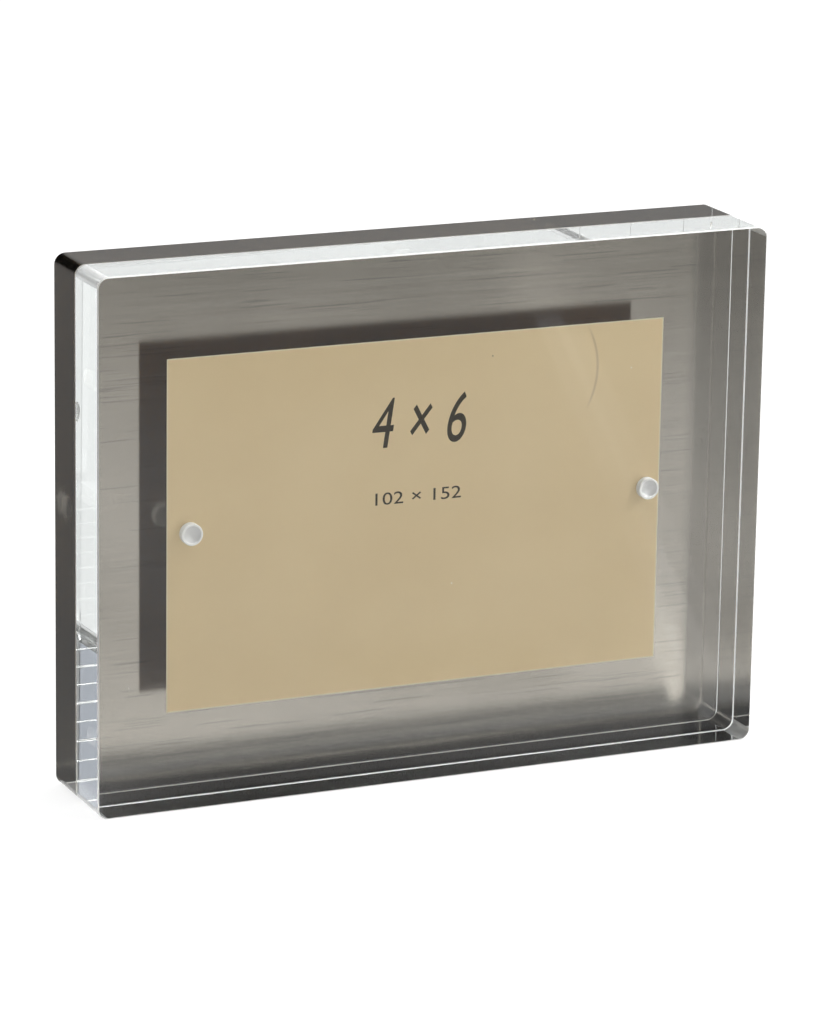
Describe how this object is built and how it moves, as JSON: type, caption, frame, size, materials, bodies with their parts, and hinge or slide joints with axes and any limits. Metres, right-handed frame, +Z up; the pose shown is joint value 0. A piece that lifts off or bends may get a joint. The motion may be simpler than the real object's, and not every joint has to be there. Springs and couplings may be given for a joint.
{
  "type": "block picture frame",
  "caption": "Thick clear blocks held face to face by magnets, with a photo card between them and a dark brushed metallic sheet behind; stands on its own flat base.",
  "frame": {"origin": "on the ground under the middle of the width and of the whole depth", "axes": "+X along the width towards the viewer's right, +Y from the front face to the back, +Z up"},
  "size_m": [0.2038, 0.0346, 0.1537],
  "materials": {
    "clear_acrylic": "polished",
    "adhesive": "gloss",
    "metallic_sheet": "satin",
    "card_stock": "matte",
    "white_sleeve": "satin",
    "plated_magnet": "polished"
  },
  "bodies": {
    "rear_assembly": {"rear_block": "clear_acrylic", "back_adhesive": "adhesive", "back_sheet": "metallic_sheet", "rear_sleeve_left": "white_sleeve", "rear_sleeve_right": "white_sleeve", "rear_magnet_left": "plated_magnet", "rear_magnet_right": "plated_magnet"},
    "front_assembly": {"front_block": "clear_acrylic", "front_sleeve_left": "white_sleeve", "front_sleeve_right": "white_sleeve", "front_magnet_left": "plated_magnet", "front_magnet_right": "plated_magnet"},
    "card": {"insert_card": "card_stock"}
  },
  "joints": [
    {"name": "front_pull_off", "type": "slide", "parent": "rear_assembly", "child": "front_assembly", "axis": [0, -1, 0], "range_m": [0, 0.06]},
    {"name": "card_slide_out", "type": "slide", "parent": "rear_assembly", "child": "card", "axis": [0, 0, 1], "range_m": [0, 0.132]}
  ]
}
